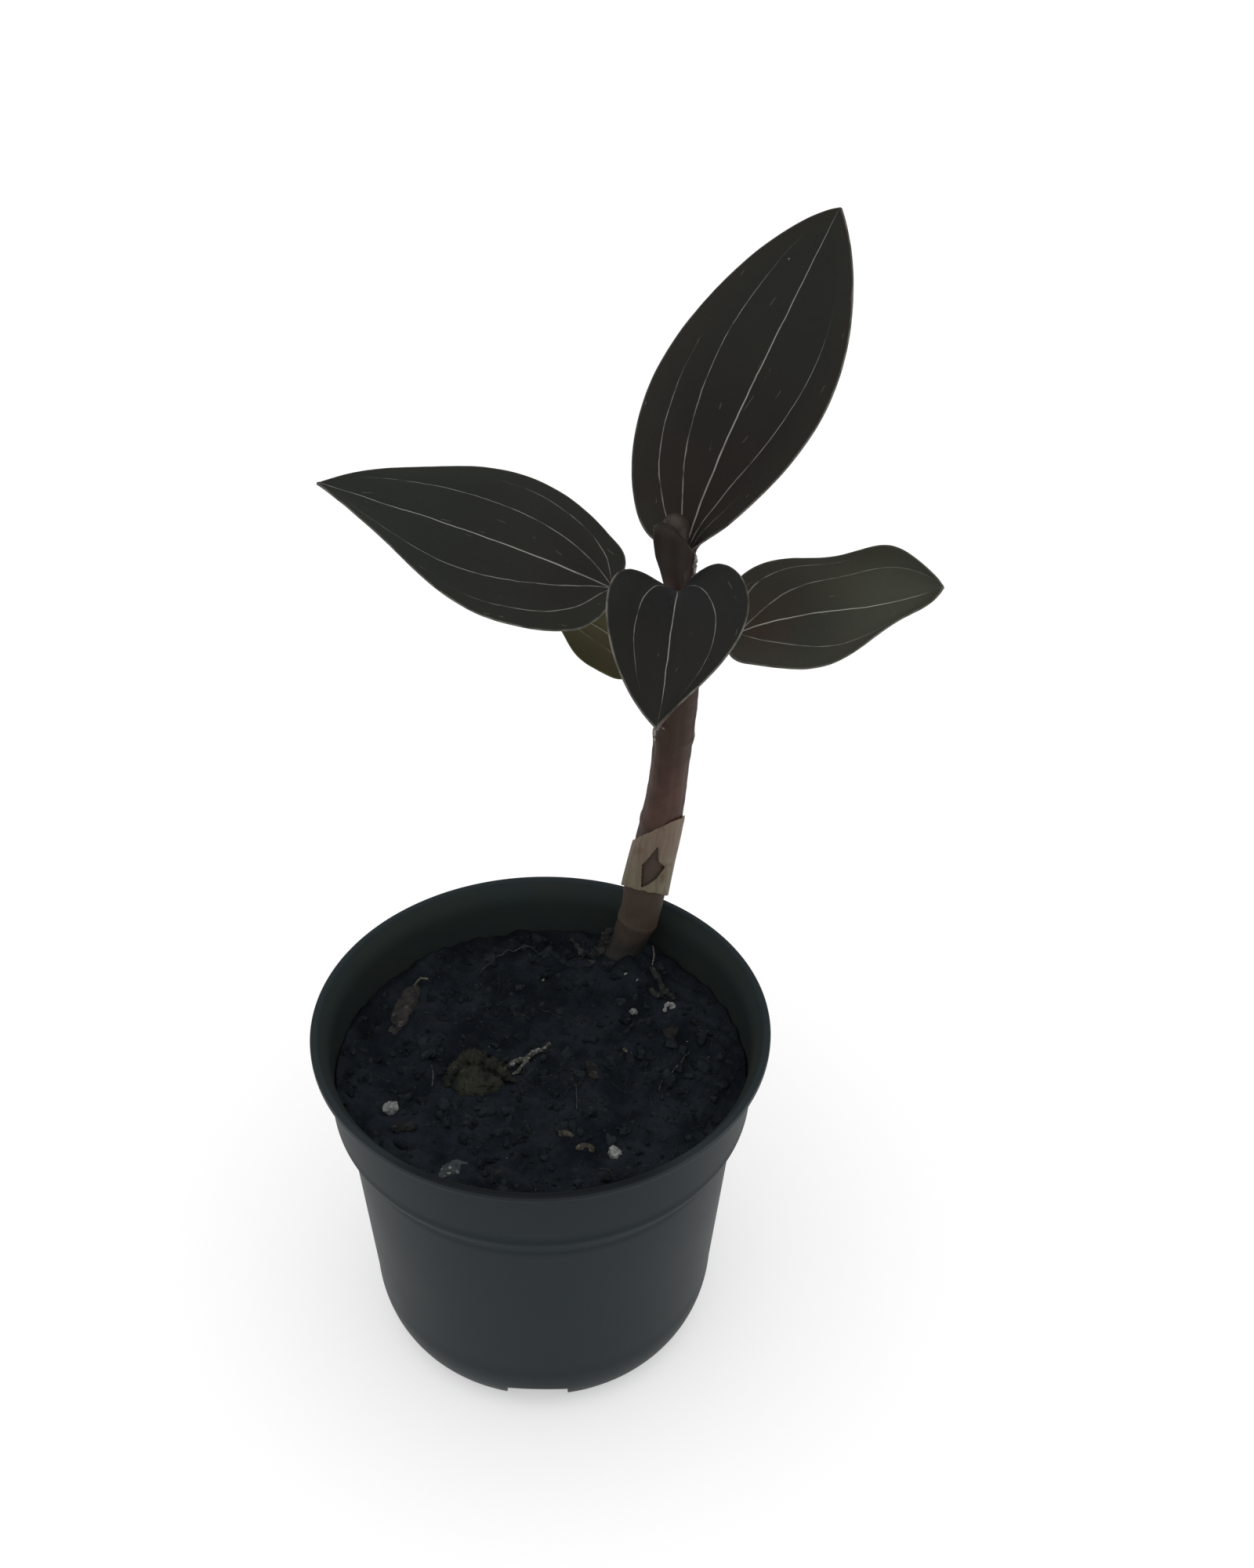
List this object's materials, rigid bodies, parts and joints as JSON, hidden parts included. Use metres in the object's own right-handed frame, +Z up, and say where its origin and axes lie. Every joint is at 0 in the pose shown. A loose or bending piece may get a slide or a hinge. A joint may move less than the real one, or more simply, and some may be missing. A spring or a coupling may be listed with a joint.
{
  "type": "potted jewel orchid",
  "caption": "Young jewel orchid with dark pale-veined leaves on a reddish stem, growing in a round tapered nursery pot of soil.",
  "frame": {"origin": "centre of the pot's underside, on the surface it stands on", "axes": "+Z up along the pot's axis; -Y towards the side that the front leaf points to; +X to the right of it"},
  "size_m": [0.1392, 0.1276, 0.256],
  "materials": {
    "pot_plastic": "moulded, satin dark grey-green",
    "soil": "damp crumbly peat mix",
    "stem": "smooth fleshy skin, reddish brown",
    "dry_sheath": "dry papery, matt",
    "leaf_dark": "velvety blackish green, pale veins, burgundy underside",
    "leaf_olive": "velvety dark olive, pale veins, burgundy underside",
    "bark": "rough bark",
    "moss": "dry mossy crust",
    "stone_chip": "rough",
    "perlite": "porous, matt"
  },
  "bodies": {
    "root": {"pot": "pot_plastic", "soil": "soil", "stem": "stem", "sheath_lower": "dry_sheath", "shoot_tip": "stem", "leaf_top": "leaf_dark", "leaf_left": "leaf_dark", "leaf_front": "leaf_dark", "leaf_right": "leaf_olive", "leaf_back": "leaf_olive", "bark_long": "bark", "moss_lump": "moss", "chip_grey": "stone_chip", "chip_tan_1": "bark", "chip_tan_2": "bark", "chip_dark_1": "bark", "chip_dark_2": "bark", "chip_dark_3": "bark", "perlite_1": "perlite", "perlite_2": "perlite", "perlite_3": "perlite", "perlite_4": "perlite", "lichen_twig": "bark"}
  },
  "joints": []
}
